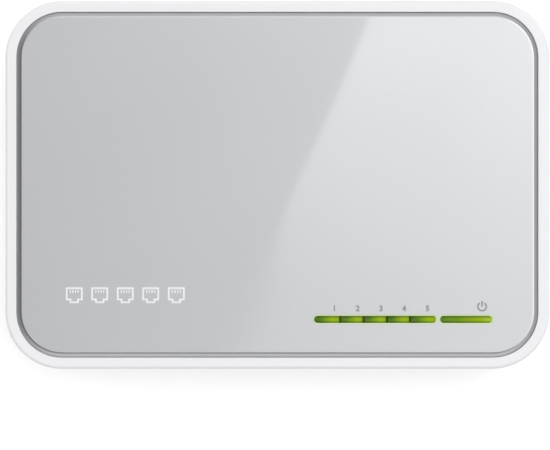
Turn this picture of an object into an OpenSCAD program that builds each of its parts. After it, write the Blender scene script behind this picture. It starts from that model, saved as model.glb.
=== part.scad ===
// Five-port desktop network switch: two snap-together shells round one circuit board.
// X runs left to right, Y from the front to the rear where the sockets are, and Z up.
// The origin is on the table, under the middle of the case. All sizes are in millimetres.

/* [Case] */
// Width of the case, left to right
case_w = 103.5; // [103:0.5:108]
// Depth of the case, front to rear
case_d = 70; // [70:0.5:74]
// Height of the whole switch, from the table to the fascia panel
case_h = 22; // [22:0.1:24]
// Corner radius of the case, seen from above
corner_r = 10.8; // [10:0.1:11]
// Rounding of the rim's outer edge
edge_r = 0.6; // [0.4:0.1:1.6]
// Rounding of the rim's inner edge
inner_edge_r = 0.12; // [0.1:0.01:0.3]
// Rounding of the base's lower edge
base_r = 3.5; // [3:0.1:3.8]
// Wall thickness of both shells
wall = 1.8; // [1.6:0.1:1.9]
// Width of the white rim round the fascia panel
rim_w = 2.15; // [2:0.05:2.4]

/* [Fascia panel] */
// Thickness of the fascia panel
panel_t = 1.25; // [1.1:0.05:1.3]
// Gap between the fascia panel and the rim
panel_gap = 0.05; // [0.05:0.01:0.1]
// Width of the rounded border of the fascia panel
bevel_w = 1.0; // [0.8:0.1:1.2]
// How far the fascia panel stands above the rim
panel_rise = 0.45; // [0.3:0.05:0.5]

/* [Indicators] */
// Distance of the indicator windows from the middle of the case, towards the front
lens_y = 25.6; // [25:0.1:26]
// Depth of each indicator window, front to rear
lens_d = 1.4; // [1.2:0.1:1.6]
// Left end of the port indicator window
ports_lens_x = 7.0; // [6:0.1:7.5]
// Length of each end indicator
end_lens_w = 4.95; // [4.8:0.05:5]
// Length of each middle indicator
mid_lens_w = 4.42; // [4.3:0.01:4.5]
// Gap between the port window and the power window
lens_gap = 0.8; // [0.7:0.1:1.2]
// Length of the power window
power_lens_w = 9.85; // [9:0.05:10]

/* [Sockets] */
// Distance between neighbouring sockets
port_pitch = 14; // [14:0.02:14.1]
// Middle of the first socket, from the middle of the case
first_port_x = -33.4; // [-33.5:0.1:-33.3]
// Middle of the power inlet
inlet_x = 35.6; // [35.5:0.1:35.7]
// Radius of the power inlet's bore
inlet_bore_r = 3.2; // [3:0.1:3.3]
// Radius of the power inlet's centre pin
inlet_pin_r = 1.0; // [0.9:0.05:1.25]

/* [Circuit board] */
// Thickness of the circuit board
board_t = 1.6; // [1.5:0.1:1.6]
// Clear height between the floor of the base and the board
board_gap = 1.9; // [1.8:0.1:2]

/* [Hidden] */
$fn = 64;
ports = [1, 2, 3, 4, 5];

// Clearances
eps = 0.01;
fit_gap = 0.05;
part_gap = 0.2;

// Levels of the shells
foot_stand = 1.1;
base_z = foot_stand;
floor_t = 1.8;
floor_z = base_z + floor_t;
split_z = 6.0;
split_gap = 0.3;
tongue_t = 0.8;
tongue_h = 1.1;
tongue_fit = 0.1;
rim_top = case_h - panel_rise;
panel_z = case_h - panel_t;
deck_t = 1.2;
deck_z = panel_z - deck_t;
board_z = floor_z + board_gap;
board_top = board_z + board_t;

// Fascia panel outline. Its border is a tight arc at the crest and then a shallow one down to the rim
panel_w = case_w - 2 * (rim_w + panel_gap);
panel_d = case_d - 2 * (rim_w + panel_gap);
panel_r = corner_r - rim_w - panel_gap;
crest_r = 0.55;
crest_end = 33;
crest_w = crest_r * sin(crest_end);
slope_end = 44;
slope_r = (bevel_w - crest_w) / (sin(slope_end) - sin(crest_end));

// Feet and fasteners
foot_r = 4;
foot_recess = 0.4;
foot_x = case_w / 2 - 10.75;
foot_y = case_d / 2 - 9.5;
case_screw_x = case_w / 2 - 8.25;
screw_head_r = 2.6;
screw_head_h = 1.9;
screw_r = 1.25;
screw_seat_z = base_z + 2.3;
screw_tip_z = 13;
case_post_r = 3.5;
case_boss_r = 3;
case_boss_z = screw_seat_z + 1.4;
board_screw_places = [[-41, -18.5], [41, -15.5]];
board_screw_tip_z = floor_z + 0.3;
peg_places = [[-43.2, 20], [43.2, 14]];
peg_r = 1.2;
post_r = 2.6;

// Keyholes, vents and label of the base
keyhole_x = 30;
keyhole_y = -5;
keyhole_r = 3.6;
keyhole_slot_w = 3.8;
keyhole_slot_l = 6;
floor_vent_w = 1.3;
floor_vent_l = 9;
floor_vent_pitch = 3.5;
floor_vent_y = 20.5;
floor_vents = [-7:7];
side_vent_w = 1.2;
side_vent_h = 7.5;
side_vent_z = 9.5;
side_vent_pitch = 3;
side_vents = [-6:6];
label_w = 46;
label_d = 24;
label_t = 0.15;
label_recess = 0.2;

// Snap tabs along the front wall
tab_places = [-24, 24];
tab_w = 8;
tab_t = 1.2;
tab_foot_z = 3.4;
tab_top_z = 10;
barb_out = 0.7;
barb_lead = 0.2;
barb_z = 3.8;
barb_h = 1.2;

// Indicator windows: the port window holds five lenses and the power window one
divider_w = 0.4;
lens_drop = 0.05;
lens_head_z = 18;
stem_w = 2.2;
stem_top_z = 14;
stem_foot_z = board_top + 1.2;
ports_lens_w = 2 * end_lens_w + 3 * mid_lens_w;
power_lens_x = ports_lens_x + ports_lens_w + lens_gap;
lens_starts = [
    ports_lens_x,
    for (k = [0:3]) ports_lens_x + end_lens_w + k * mid_lens_w,
    power_lens_x
];
lens_ends = [
    for (k = [1:4]) lens_starts[k],
    ports_lens_x + ports_lens_w,
    power_lens_x + power_lens_w
];
led_inset = 1.3;
shield_d = 4.4;
shield_z = 8.8;
shield_margin = 1.4;

// Socket block and its cavities
jack_front = case_d / 2 - wall - part_gap;
jack_l = 18.5;
jack_rear = jack_front - jack_l;
jack_h = 12.8;
jack_top = board_top + jack_h;
jack_side = 6.95;
cavity_w = 11.9;
cavity_h = 6.9;
cavity_l = 12.6;
cavity_roof = jack_top - 2.2;
cavity_floor = cavity_roof - cavity_h;
cavity_rear = jack_front - cavity_l;
latch_step_w = 6.4;
latch_step_h = 1.5;
latch_slot_w = 4.0;
latch_slot_h = 1.4;
window_w = 12.8;
window_z = board_top + 0.5;
window_top = jack_top - 1.6;
pocket_w = 12.4;
pocket_top = jack_top - 0.3;
jack_peg_r = 1.55;
jack_peg_x = 5;
jack_peg_y = 27;

// Contact wires of a socket: a fixed lead, a loop at the front and a sloping spring arm
wires = [0:7];
wire_pitch = 1.02;
wire_w = 0.4;
wire_t = 0.3;
wire_slot_w = 0.62;
carrier_slot_w = 0.5;
lead_z = cavity_roof + 1.4;
loop_r = 0.45;
loop_y = jack_front - 2;
loop_z = lead_z - loop_r;
arm_slope = 19;
arm_l = 9;
tail_z = floor_z + 0.6;
tail_rear_y = jack_rear + 1.6;
tail_row_gap = 2.54;
tail_hole_r = 0.45;

// Power inlet
inlet_w = 9;
inlet_h = 11;
inlet_rear = jack_front - 14.2;
inlet_z = board_top + 6.5;
inlet_bore_l = 10;
inlet_shank_w = 1.2;
inlet_window_r = 4.4;
inlet_tab_w = 3;
inlet_tab_t = 0.3;
inlet_slot_w = 3.6;
inlet_slot_rear = inlet_rear + 3.1;
inlet_slot_front = jack_front - 1;
spring_root_y = inlet_slot_rear + 1.05;
spring_root_z = board_top + 2.8;
spring_roll_r = 0.35;
spring_crest = [5.7, 1.2];
spring_toe = [8, 0.3];
side_tab_y = inlet_rear + 6;

// Circuit board outline and the places of its parts
board_w = 92;
board_front = -29;
board_rear = jack_front - 0.4;
board_r = 6;
magnetics_y = 8;
magnetics_w = 12.4;
magnetics_d = 7.1;
magnetics_h = 5.7;
magnetics_stand = 0.2;
magnetics_lead_pitch = 1.27;
chip_place = [-6, -8.5];
chip_w = 14;
chip_h = 1.5;
chip_stand = 0.1;
chip_lead_pitch = 0.8;
chip_side_leads = 16;
crystal_place = [-6, -21.5];
input_cap_place = [37.5, 9];
input_cap_r = 4;
input_cap_h = 11;
output_cap_place = [16, -10];
output_cap_r = 3.15;
output_cap_h = 7;
regulator_place = [28, -13.5];
regulator_size = [6.6, 3.6, 1.6];
inductor_place = [29, -2.5];
inductor_w = 6.6;
inductor_corner_r = 1.2;
winding_r = 2.6;
winding_z = 1.2;
winding_top = 2.6;
inductor_h = 3.6;
diode_place = [18, -17];
diode_size = [4.4, 2.6, 2];
resistor_size = [1.6, 0.8, 0.45];
capacitor_size = [1.6, 0.8, 0.8];
mould_mark_r = 0.6;

function port_x(p) = first_port_x + (p - 1) * port_pitch;
function wire_x(p, k) = port_x(p) + (k - 3.5) * wire_pitch;
function tail_y(k) = tail_rear_y + (k % 2) * tail_row_gap;
function led_x(k) = lens_ends[k] - led_inset;

// ---------- shapes that repeat ----------

// Sweeps a section round a rounded rectangle; the section's x is the distance out from the corner centres
module sweep_ring(w, d, r) {
    for (q = [0:3]) {
        half_x = (q % 2 == 0 ? w : d) / 2 - r;
        half_y = (q % 2 == 0 ? d : w) / 2 - r;
        rotate([0, 0, 90 * q]) translate([half_x, half_y, 0]) {
            rotate_extrude(angle = 90) children();
            rotate([90, 0, 0]) linear_extrude(2 * half_y) children();
        }
    }
}

// A flat plate with round corners, from z0 to z1
module rounded_plate(w, d, r, z0, z1) {
    sweep_ring(w, d, r) translate([0, z0]) square([r, z1 - z0]);
    translate([r - w / 2, r - d / 2, z0]) cube([w - 2 * r, d - 2 * r, z1 - z0]);
}

// A box given by its middle in x, and by its ends in y and z
module block(x, w, y0, y1, z0, z1) {
    translate([x - w / 2, y0, z0]) cube([w, y1 - y0, z1 - z0]);
}

// A box whose foot is at z and whose middle is on the z axis
module centred_box(size, z) {
    translate([-size.x / 2, -size.y / 2, z]) cube(size);
}

// A disc or post from z0 to z1
module post(x, y, r, z0, z1) {
    translate([x, y, z0]) cylinder(r = r, h = z1 - z0);
}

// A window with round ends along x, from x0 to x1, cut from z0 to z1
module pill(x0, x1, y, d, z0, z1) {
    post(x0 + d / 2, y, d / 2, z0, z1);
    post(x1 - d / 2, y, d / 2, z0, z1);
    block((x0 + x1) / 2, x1 - x0 - d, y - d / 2, y + d / 2, z0, z1);
}

// A section drawn in y and z, given thickness w along x
module profile_along_x(x, w) {
    translate([x - w / 2, 0, 0]) rotate([90, 0, 90]) linear_extrude(w) children();
}

// A gull-wing lead that leaves a body at the origin along +y, at height h over the board
module gull_lead(h, reach, w, t) {
    foot = reach * 0.4;
    rise = reach * 0.35;
    rotate([90, 0, 90]) translate([0, 0, -w / 2]) linear_extrude(w) polygon([
        [0, h], [0, h + t], [rise + t, h + t], [reach - foot + t, t],
        [reach, t], [reach, 0], [reach - foot, 0], [rise, h]
    ]);
}

// A pan head with a cross recess, its underside at z and its crown towards the direction side
module screw_head(r, h, side) {
    slot_w = r * 0.3;
    slot_l = r * 1.1;
    slot_t = h * 0.55;
    mirror([0, 0, side > 0 ? 0 : 1]) difference() {
        union() {
            cylinder(r = r, h = h * 0.55);
            translate([0, 0, h * 0.55]) cylinder(r1 = r, r2 = r * 0.72, h = h * 0.45);
        }
        for (turn = [0, 90]) rotate([0, 0, turn])
            translate([-slot_w / 2, -slot_l / 2, h - slot_t]) cube([slot_w, slot_l, slot_t + eps]);
    }
}

// ---------- shells ----------

// Cross-section of the top cover's wall and rim
module cover_section() {
    difference() {
        polygon([
            [corner_r - wall, split_z], [corner_r, split_z], [corner_r, rim_top],
            [corner_r - rim_w, rim_top], [corner_r - rim_w, deck_z], [corner_r - wall, deck_z]
        ]);
        translate([corner_r - edge_r, rim_top - edge_r]) difference() {
            square(2 * edge_r);
            circle(edge_r);
        }
        translate([corner_r - rim_w + inner_edge_r, rim_top - inner_edge_r]) difference() {
            translate([-2 * inner_edge_r, 0]) square(2 * inner_edge_r);
            circle(inner_edge_r);
        }
        translate([corner_r - wall - eps, split_z - eps])
            square([tongue_t + tongue_fit + eps, tongue_h + part_gap + eps]);
    }
}

module lens_windows(z0, z1, grow) {
    pill(ports_lens_x - grow, ports_lens_x + ports_lens_w + grow, -lens_y, lens_d + 2 * grow, z0, z1);
    pill(power_lens_x - grow, power_lens_x + power_lens_w + grow, -lens_y, lens_d + 2 * grow, z0, z1);
}

module snap_tab(x) {
    inner = -(case_d / 2 - wall);
    block(x, tab_w, inner - eps, inner + tab_t, split_z + tongue_h + part_gap, tab_top_z);
    block(x, tab_w, inner + fit_gap, inner + tab_t, tab_foot_z, split_z + tongue_h + part_gap + eps);
    profile_along_x(x, tab_w) polygon([
        [inner + fit_gap + eps, barb_z], [inner + fit_gap + eps, barb_z + barb_h],
        [inner + fit_gap - barb_out, barb_z + barb_h], [inner + fit_gap - barb_lead, barb_z]
    ]);
}

module top_cover() {
    rear = case_d / 2;
    color("white") difference() {
        union() {
            sweep_ring(case_w, case_d, corner_r) cover_section();
            rounded_plate(case_w - 2 * rim_w, case_d - 2 * rim_w, corner_r - rim_w, deck_z, panel_z);
            for (s = [-1, 1]) post(s * case_screw_x, 0, case_boss_r, case_boss_z, deck_z + eps);
            for (x = tab_places) snap_tab(x);
        }
        lens_windows(deck_z - eps, panel_z + eps, fit_gap);
        for (s = [-1, 1]) post(s * case_screw_x, 0, screw_r + 0.02, case_boss_z - eps, screw_tip_z + 1);
        for (p = ports) block(port_x(p), window_w, rear - wall - eps, rear + eps, window_z, window_top);
        translate([inlet_x, rear + eps, inlet_z]) rotate([90, 0, 0])
            cylinder(r = inlet_window_r, h = wall + 2 * eps);
        for (s = [-1, 1], k = side_vents)
            block(s * (case_w - wall) / 2, wall + 2 * eps,
                  k * side_vent_pitch - side_vent_w / 2, k * side_vent_pitch + side_vent_w / 2,
                  side_vent_z, side_vent_z + side_vent_h);
    }
}

// Cross-section of the base's wall, with the tongue that centres the top cover
module base_section() {
    top = split_z - split_gap;
    difference() {
        polygon([
            [corner_r - base_r, base_z], [corner_r, base_z], [corner_r, top],
            [corner_r - wall + tongue_t, top], [corner_r - wall + tongue_t, split_z + tongue_h],
            [corner_r - wall, split_z + tongue_h], [corner_r - wall, floor_z], [corner_r - base_r, floor_z]
        ]);
        translate([corner_r - base_r, base_z + base_r]) difference() {
            translate([0, -2 * base_r]) square(2 * base_r);
            circle(base_r);
        }
    }
}

module keyhole_cut(x) {
    post(x, keyhole_y, keyhole_r, base_z - eps, floor_z + eps);
    post(x, keyhole_y + keyhole_slot_l, keyhole_slot_w / 2, base_z - eps, floor_z + eps);
    block(x, keyhole_slot_w, keyhole_y, keyhole_y + keyhole_slot_l, base_z - eps, floor_z + eps);
}

module bottom_cover() {
    inner = -(case_d / 2 - wall);
    color("white") difference() {
        union() {
            sweep_ring(case_w, case_d, corner_r) base_section();
            rounded_plate(case_w - 2 * base_r, case_d - 2 * base_r, corner_r - base_r, base_z, floor_z);
            for (s = [-1, 1]) post(s * case_screw_x, 0, case_post_r, floor_z - eps, case_boss_z - part_gap);
            for (b = board_screw_places) post(b.x, b.y, post_r, floor_z - eps, board_z);
            for (b = peg_places) {
                post(b.x, b.y, post_r, floor_z - eps, board_z);
                post(b.x, b.y, peg_r, board_z - eps, board_top + 0.5);
            }
        }
        for (s = [-1, 1]) {
            post(s * case_screw_x, 0, screw_head_r + 0.3, base_z - eps, screw_seat_z);
            post(s * case_screw_x, 0, screw_r + 0.3, screw_seat_z - eps, case_boss_z);
            keyhole_cut(s * keyhole_x);
        }
        for (b = board_screw_places) post(b.x, b.y, screw_r + 0.02, board_screw_tip_z - 0.1, board_z + eps);
        for (sx = [-1, 1], sy = [-1, 1])
            post(sx * foot_x, sy * foot_y, foot_r + 0.1, base_z - eps, base_z + foot_recess);
        block(0, label_w + part_gap, -(label_d + part_gap) / 2, (label_d + part_gap) / 2,
              base_z - eps, base_z + label_recess);
        for (s = [-1, 1], k = floor_vents)
            block(k * floor_vent_pitch, floor_vent_w,
                  s * floor_vent_y - floor_vent_l / 2, s * floor_vent_y + floor_vent_l / 2,
                  base_z - eps, floor_z + eps);
        for (x = tab_places)
            block(x, tab_w + 2 * part_gap, inner - barb_out - part_gap, inner + eps,
                  barb_z - part_gap, barb_z + barb_h + part_gap);
    }
}

// Cross-section of the fascia panel: flat on top, with a border that rolls over its crest and slopes down
module panel_section() {
    crest_x = panel_r - bevel_w;
    crest_z = case_h - crest_r;
    slope_x = crest_x - (slope_r - crest_r) * sin(crest_end);
    slope_z = crest_z - (slope_r - crest_r) * cos(crest_end);
    difference() {
        translate([0, panel_z]) square([panel_r, panel_t]);
        translate([crest_x, crest_z]) difference() {
            square([crest_w, 2 * crest_r]);
            circle(crest_r);
        }
        translate([slope_x, slope_z]) difference() {
            translate([slope_r * sin(crest_end), 0]) square([bevel_w, 2 * slope_r]);
            circle(slope_r);
        }
    }
}

module fascia_panel() {
    color("silver") difference() {
        union() {
            sweep_ring(panel_w, panel_d, panel_r) panel_section();
            translate([panel_r - panel_w / 2, panel_r - panel_d / 2, panel_z])
                cube([panel_w - 2 * panel_r, panel_d - 2 * panel_r, panel_t]);
        }
        lens_windows(panel_z - eps, case_h + eps, fit_gap);
    }
}

module rating_label() {
    color("lightgray")
        rounded_plate(label_w, label_d, 1.5, base_z + label_recess - label_t, base_z + label_recess);
}

module foot(sx, sy) {
    top = base_z + foot_recess;
    color("dimgray") translate([sx * foot_x, sy * foot_y, 0]) rotate_extrude() polygon([
        [0, 0], [foot_r - 0.45, 0], [foot_r - 0.15, 0.15], [foot_r, 0.5], [foot_r, top], [0, top]
    ]);
}

module case_screws() {
    color("gray") for (s = [-1, 1]) {
        translate([s * case_screw_x, 0, screw_seat_z]) screw_head(screw_head_r, screw_head_h, -1);
        post(s * case_screw_x, 0, screw_r, screw_seat_z - eps, screw_tip_z - 1.2);
        translate([s * case_screw_x, 0, screw_tip_z - 1.2 - eps]) cylinder(r1 = screw_r, r2 = 0.4, h = 1.2);
    }
}

module board_screws() {
    color("gray") for (b = board_screw_places) {
        translate([b.x, b.y, board_top]) screw_head(2.2, 1.4, 1);
        post(b.x, b.y, screw_r, board_screw_tip_z, board_top + eps);
    }
}

// ---------- indicators ----------

// Side view of a light pipe in x and z: a wide head over a narrow stem, grown by a clearance
module pipe_outline(k, grow, foot_z) {
    x0 = lens_starts[k] + (k == 0 || k == 5 ? 0 : divider_w / 2) - grow;
    x1 = lens_ends[k] - (k == 4 || k == 5 ? 0 : divider_w / 2) + grow;
    s0 = led_x(k) - stem_w / 2 - grow;
    s1 = led_x(k) + stem_w / 2 + grow;
    polygon([
        [s0, foot_z], [s1, foot_z], [s1, stem_top_z], [x1, lens_head_z],
        [x1, case_h], [x0, case_h], [x0, lens_head_z], [s0, stem_top_z]
    ]);
}

// A light pipe: its outline given depth, with its head trimmed to the window's round ends
module light_pipe(k) {
    x0 = k == 5 ? power_lens_x : ports_lens_x;
    x1 = k == 5 ? power_lens_x + power_lens_w : ports_lens_x + ports_lens_w;
    stem_d = lens_d - 0.1;
    color("yellowgreen") intersection() {
        translate([0, stem_d / 2 - lens_y, 0]) rotate([90, 0, 0]) linear_extrude(stem_d)
            pipe_outline(k, 0, stem_foot_z);
        pill(x0, x1, -lens_y, stem_d, 0, case_h - lens_drop);
    }
}

module light_shield() {
    x0 = ports_lens_x - shield_margin;
    x1 = power_lens_x + power_lens_w + shield_margin;
    cell_d = lens_d + 0.2;
    top = deck_z - fit_gap;
    color("dimgray") {
        difference() {
            union() {
                block((x0 + x1) / 2, x1 - x0, -lens_y - shield_d / 2, -lens_y + shield_d / 2, shield_z, top);
                for (x = [x0 + 0.5, x1 - 0.5])
                    block(x, 1, -lens_y - shield_d / 2, -lens_y + shield_d / 2,
                          board_top + fit_gap, shield_z + eps);
            }
            for (k = [0:5]) translate([0, cell_d / 2 - lens_y, 0]) rotate([90, 0, 0])
                linear_extrude(cell_d) pipe_outline(k, 0.12, shield_z - 1);
        }
        for (k = [1:4])
            block(lens_starts[k], divider_w - 0.24, -lens_y - lens_d / 2, -lens_y + lens_d / 2,
                  lens_head_z, case_h - lens_drop - 0.05);
        for (k = [1:4])
            block(lens_starts[k], divider_w - 0.24, -lens_y - shield_d / 2, -lens_y + shield_d / 2,
                  lens_head_z, top);
    }
}

// A surface-mount lamp: body, raised lens and two end terminals
module led(k) {
    color("honeydew") translate([led_x(k), -lens_y, board_top]) {
        centred_box([1.5, 1.2, 0.45], 0.05);
        centred_box([1, 1, 0.3], 0.5 - eps);
        for (s = [-1, 1]) translate([s * 0.9, 0, 0]) centred_box([0.3, 1.2, 0.35], 0);
    }
}

// ---------- circuit board and its parts ----------

module tail_hole(x, y, r) {
    post(x, y, r, board_z - eps, board_top + eps);
}

module circuit_board() {
    mid_y = (board_front + board_rear) / 2;
    color("darkgreen") difference() {
        translate([0, mid_y, 0])
            rounded_plate(board_w, board_rear - board_front, board_r, board_z, board_top);
        for (s = [-1, 1]) tail_hole(s * case_screw_x, 0, case_post_r + 0.4);
        for (b = board_screw_places) tail_hole(b.x, b.y, screw_r + 0.2);
        for (b = peg_places) tail_hole(b.x, b.y, peg_r + 0.1);
        for (p = ports, k = wires) tail_hole(wire_x(p, k), tail_y(k), tail_hole_r);
        for (p = [1, 5], s = [-1, 1]) tail_hole(port_x(p) + s * jack_peg_x, jack_peg_y, jack_peg_r + 0.1);
        for (y = [inlet_rear - 0.35, inlet_slot_rear + 0.35])
            block(inlet_x, inlet_tab_w + 0.4, y - 0.4, y + 0.4, board_z - eps, board_top + eps);
        block(inlet_x + inlet_w / 2 + 0.35, 0.8, side_tab_y - 1.7, side_tab_y + 1.7,
              board_z - eps, board_top + eps);
    }
}

module switch_chip() {
    lead_z = 0.45;
    color("dimgray") translate([chip_place.x, chip_place.y, board_top]) {
        difference() {
            centred_box([chip_w, chip_w, chip_h], chip_stand);
            translate([1.6 - chip_w / 2, chip_w / 2 - 1.6, chip_stand + chip_h - 0.15])
                cylinder(r = mould_mark_r, h = 1);
        }
        for (side = [0:3], k = [0:chip_side_leads - 1])
            rotate([0, 0, 90 * side])
                translate([(k - (chip_side_leads - 1) / 2) * chip_lead_pitch, chip_w / 2, 0])
                    gull_lead(lead_z, 1.4, 0.34, 0.16);
    }
}

module magnetics(p) {
    color("dimgray") translate([port_x(p), magnetics_y, board_top]) {
        difference() {
            centred_box([magnetics_w, magnetics_d, magnetics_h], magnetics_stand);
            translate([1.5 - magnetics_w / 2, 1.5 - magnetics_d / 2, magnetics_stand + magnetics_h - 0.2])
                cylinder(r = mould_mark_r, h = 1);
        }
        for (turn = [0, 180], k = [0:7])
            rotate([0, 0, turn])
                translate([(k - 3.5) * magnetics_lead_pitch, magnetics_d / 2, 0])
                    gull_lead(1.2, 1.3, 0.5, 0.25);
    }
}

// A crystal in a drawn can with a welded flange round its foot
module crystal() {
    can_l = 10.2;
    can_d = 3.8;
    flange = 0.4;
    flange_t = 0.5;
    color("silver") translate([crystal_place.x, crystal_place.y, board_top]) {
        pill(-can_l / 2 - flange, can_l / 2 + flange, 0, can_d + 2 * flange, 0, flange_t);
        pill(-can_l / 2, can_l / 2, 0, can_d, flange_t - eps, 3.5);
    }
}

// An electrolytic can with a crimp ring near its foot and a rubber bung
module electrolytic(r, h) {
    rotate_extrude() polygon([
        [0, 0], [r - 0.3, 0], [r, 0.4], [r, 1.2], [r - 0.35, 1.6], [r - 0.35, 1.9],
        [r, 2.3], [r, h - 0.4], [r - 0.4, h], [r - 0.8, h], [r - 0.9, h - 0.2], [0, h - 0.2]
    ]);
}

module input_capacitor() {
    color("navy") translate([input_cap_place.x, input_cap_place.y, board_top])
        electrolytic(input_cap_r, input_cap_h);
}

module output_capacitor() {
    color("navy") translate([output_cap_place.x, output_cap_place.y, board_top])
        electrolytic(output_cap_r, output_cap_h);
}

// A voltage regulator: body, wide heat tab at the rear and three leads at the front
module regulator() {
    color("dimgray") translate([regulator_place.x, regulator_place.y, board_top]) {
        centred_box(regulator_size, 0.1);
        translate([0, regulator_size.y / 2, 0]) gull_lead(0.7, 1.7, 3, 0.25);
        for (k = [-1:1])
            rotate([0, 0, 180]) translate([k * 2.3, regulator_size.y / 2, 0]) gull_lead(0.7, 1.7, 0.7, 0.25);
    }
}

// A coil wound on a ferrite bobbin, between two square flanges
module power_inductor() {
    color("gray") translate([inductor_place.x, inductor_place.y, board_top]) {
        rounded_plate(inductor_w, inductor_w, inductor_corner_r, 0, winding_z);
        post(0, 0, winding_r, winding_z - eps, winding_top);
        rounded_plate(inductor_w, inductor_w, inductor_corner_r, winding_top - eps, inductor_h);
    }
}

module input_diode() {
    color("dimgray") translate([diode_place.x, diode_place.y, board_top]) {
        centred_box(diode_size, 0.15);
        for (turn = [90, 270])
            rotate([0, 0, turn]) translate([0, diode_size.x / 2, 0]) gull_lead(0.9, 0.9, 1.4, 0.2);
    }
}

// A chip part lying along x or y, with a terminal cap at each end
module chip_part(place, size, turn) {
    cap = size.x * 0.2;
    skin = 0.03;
    translate([place.x, place.y, board_top]) rotate([0, 0, turn]) {
        centred_box([size.x - 2 * cap, size.y - 2 * skin, size.z - 2 * skin], skin);
        for (s = [-1, 1]) translate([s * (size.x - cap) / 2, 0, 0]) centred_box([cap, size.y, size.z], 0);
    }
}

module chip_resistors() {
    color("black") {
        for (p = ports, k = [0:3])
            chip_part([port_x(p) + (k - 1.5) * 2.4, 1.6], resistor_size, 90);
        for (k = [0:5]) chip_part([led_x(k), -21.2], resistor_size, 90);
    }
}

module chip_capacitors() {
    color("tan") {
        for (s = [-1, 1], k = [-1:1])
            chip_part([chip_place.x + s * 10.4, chip_place.y + k * 4], capacitor_size, 90);
        for (s = [-1, 1]) chip_part([crystal_place.x + s * 8, crystal_place.y], capacitor_size, 90);
        for (k = [0, 1]) chip_part([regulator_place.x - 5.6, regulator_place.y + k * 2.4], capacitor_size, 0);
        for (k = [-1, 1]) chip_part([inductor_place.x + 6, inductor_place.y + k * 2], capacitor_size, 0);
    }
}

// ---------- network sockets ----------

// What a plug needs: the main cavity with the two steps of the latch channel below it
module socket_cavity(p) {
    front = jack_front + eps;
    step_z = cavity_floor - latch_step_h;
    block(port_x(p), cavity_w, cavity_rear, front, cavity_floor, cavity_roof);
    block(port_x(p), latch_step_w, cavity_rear, front, step_z, cavity_floor + eps);
    block(port_x(p), latch_slot_w, cavity_rear, front, step_z - latch_slot_h, step_z + eps);
    for (k = wires)
        block(wire_x(p, k), wire_slot_w, cavity_rear - eps, loop_y + 0.9,
              cavity_roof - eps, lead_z + 0.3);
}

module jack_block() {
    left = port_x(1) - jack_side;
    right = port_x(5) + jack_side;
    color("dimgray") {
        difference() {
            block((left + right) / 2, right - left, jack_rear, jack_front, board_top, jack_top);
            for (p = ports) {
                socket_cavity(p);
                block(port_x(p), pocket_w, jack_rear - eps, cavity_rear + eps, board_top - eps, pocket_top);
            }
        }
        for (p = [1, 5], s = [-1, 1])
            post(port_x(p) + s * jack_peg_x, jack_peg_y, jack_peg_r, board_z + 0.1, board_top + eps);
    }
}

// The moulded insert behind a socket, with a slot for each wire
module contact_carrier(p) {
    front = cavity_rear - fit_gap;
    rear = jack_rear + 0.1;
    top = pocket_top - fit_gap;
    color("darkslategray") difference() {
        block(port_x(p), pocket_w - 2 * fit_gap, rear, front, board_top + fit_gap, top);
        for (k = wires) {
            block(wire_x(p, k), carrier_slot_w, rear - eps, tail_y(k) + wire_t / 2 + fit_gap,
                  board_top, top + eps);
            block(wire_x(p, k), carrier_slot_w, tail_y(k), front + eps,
                  lead_z - wire_t / 2 - fit_gap, top + eps);
        }
    }
}

// The fixed part of a socket's eight wires: a tail through the board and a run along the roof
module contact_leads(p) {
    low = lead_z - wire_t / 2;
    high = lead_z + wire_t / 2;
    end_y = loop_y - fit_gap;
    color("gold") for (k = wires)
        profile_along_x(wire_x(p, k), wire_w) polygon([
            [tail_y(k) - wire_t / 2, tail_z], [tail_y(k) + wire_t / 2, tail_z],
            [tail_y(k) + wire_t / 2, low], [end_y, low], [end_y, high], [tail_y(k) - wire_t / 2, high]
        ]);
}

// The springing part of a socket's eight wires: a loop at the front and an arm that slopes down and back
module contact_springs(p) {
    color("gold") for (k = wires)
        translate([wire_x(p, k), loop_y, loop_z]) rotate([90, 0, 90]) translate([0, 0, -wire_w / 2])
            rotate([0, 0, arm_slope - 90]) {
                rotate_extrude(angle = 180 - arm_slope)
                    translate([loop_r - wire_t / 2, 0]) square([wire_t, wire_w]);
                translate([loop_r - wire_t / 2, -arm_l, 0]) cube([wire_t, arm_l, wire_w]);
            }
}

// ---------- power inlet ----------

module inlet_body() {
    color("dimgray") difference() {
        block(inlet_x, inlet_w, inlet_rear, jack_front, board_top, board_top + inlet_h);
        translate([inlet_x, jack_front + eps, inlet_z]) rotate([90, 0, 0])
            cylinder(r = inlet_bore_r, h = inlet_bore_l + eps);
        block(inlet_x, inlet_shank_w + 0.06, inlet_rear - eps, jack_front - inlet_bore_l + eps,
              inlet_z - inlet_shank_w / 2 - 0.03, inlet_z + inlet_shank_w / 2 + 0.03);
        block(inlet_x, inlet_slot_w, inlet_slot_rear, inlet_slot_front, board_top - eps, inlet_z - 2);
    }
}

// The centre pin: round in the bore, with a square shank through the body to a solder tab behind it
module inlet_pin() {
    back = inlet_rear - 0.5;
    shoulder = jack_front - inlet_bore_l + eps;
    nose = jack_front - 1.7;
    color("silver") {
        block(inlet_x, inlet_tab_w, back, back + inlet_tab_t, tail_z, inlet_z + 1.5);
        block(inlet_x, inlet_shank_w, back, shoulder + eps,
              inlet_z - inlet_shank_w / 2, inlet_z + inlet_shank_w / 2);
        translate([inlet_x, nose, inlet_z]) rotate([90, 0, 0])
            cylinder(r = inlet_pin_r, h = nose - shoulder);
        translate([inlet_x, nose - eps, inlet_z]) rotate([-90, 0, 0])
            cylinder(r1 = inlet_pin_r, r2 = inlet_pin_r - 0.35, h = 0.5);
    }
}

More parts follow.
